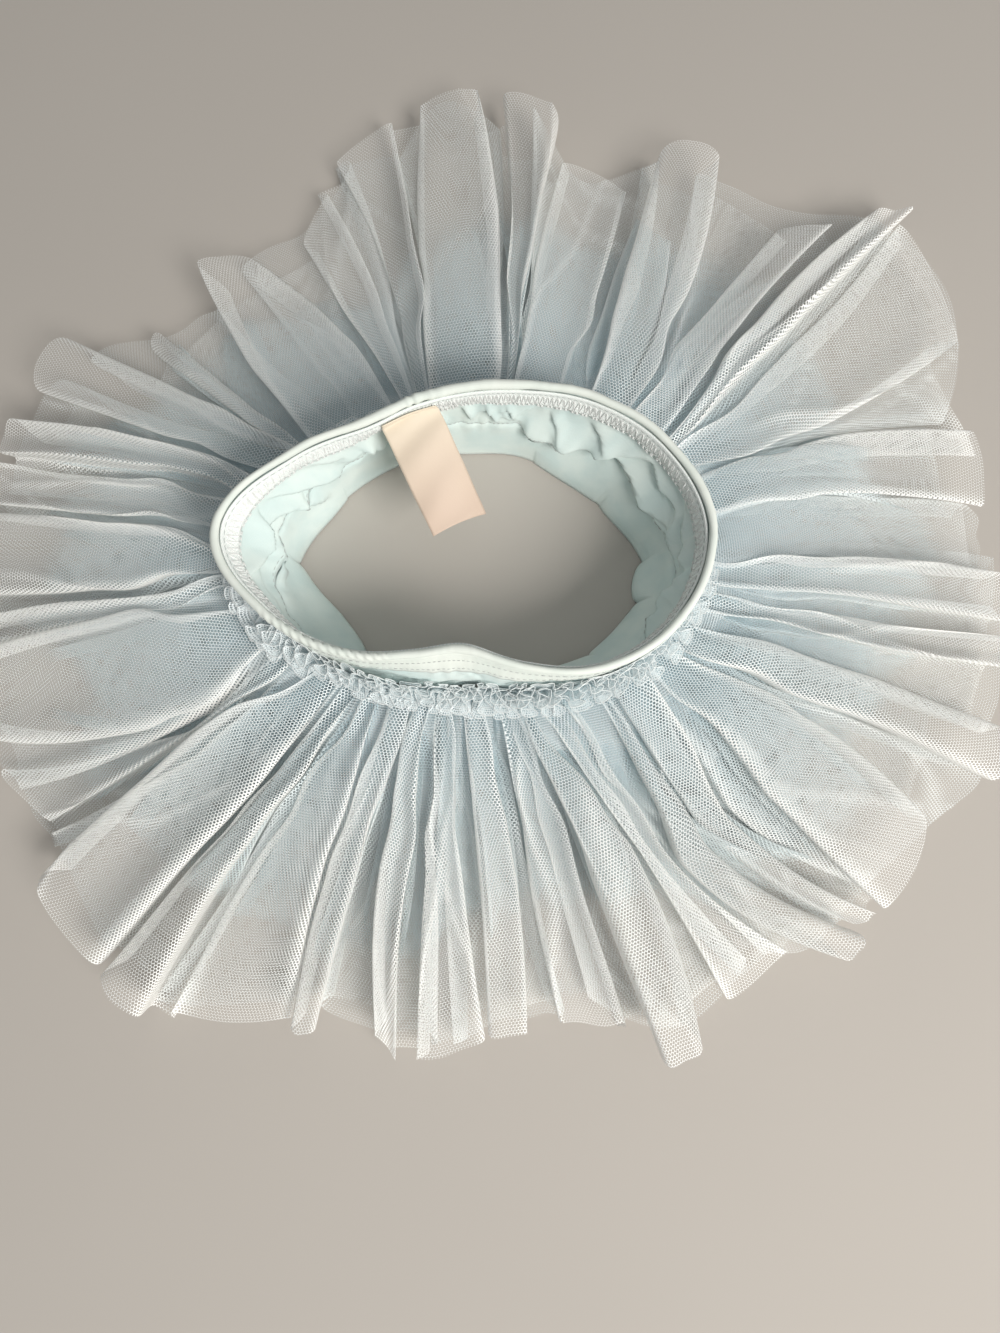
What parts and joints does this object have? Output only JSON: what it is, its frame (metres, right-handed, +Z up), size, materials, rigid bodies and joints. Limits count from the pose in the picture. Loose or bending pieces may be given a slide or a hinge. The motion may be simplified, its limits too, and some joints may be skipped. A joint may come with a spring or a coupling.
{
  "type": "ballet tutu",
  "caption": "Pull-on half tutu laid flat: knit yoke tube with rolled elastic casing and gathered net skirt in long and short layers.",
  "frame": {"origin": "middle of the skirt's plan, on the surface that the garment lies on", "axes": "+Z up through the waist opening, +X to the garment's wider side, +Y towards the back, where the care label is sewn"},
  "size_m": [0.4542, 0.43, 0.0572],
  "materials": {
    "casing": "matt stretch knit, pale mint white",
    "elastic": "overlocked elastic, grey white",
    "yoke": "soft stretch knit with a slight sheen, pale aqua",
    "heading": "gathered net, sky blue",
    "net": "fine sheer net, pale blue white",
    "label": "satin ribbon, pale peach white"
  },
  "bodies": {
    "root": {"waist_casing": "casing", "waist_elastic": "elastic", "yoke_upper": "yoke", "yoke_lower": "yoke", "tulle_heading": "heading", "tulle_short_lower": "net", "tulle_short_upper": "net", "tulle_long_under": "net", "tulle_long_top": "net", "care_label": "label"}
  },
  "joints": []
}
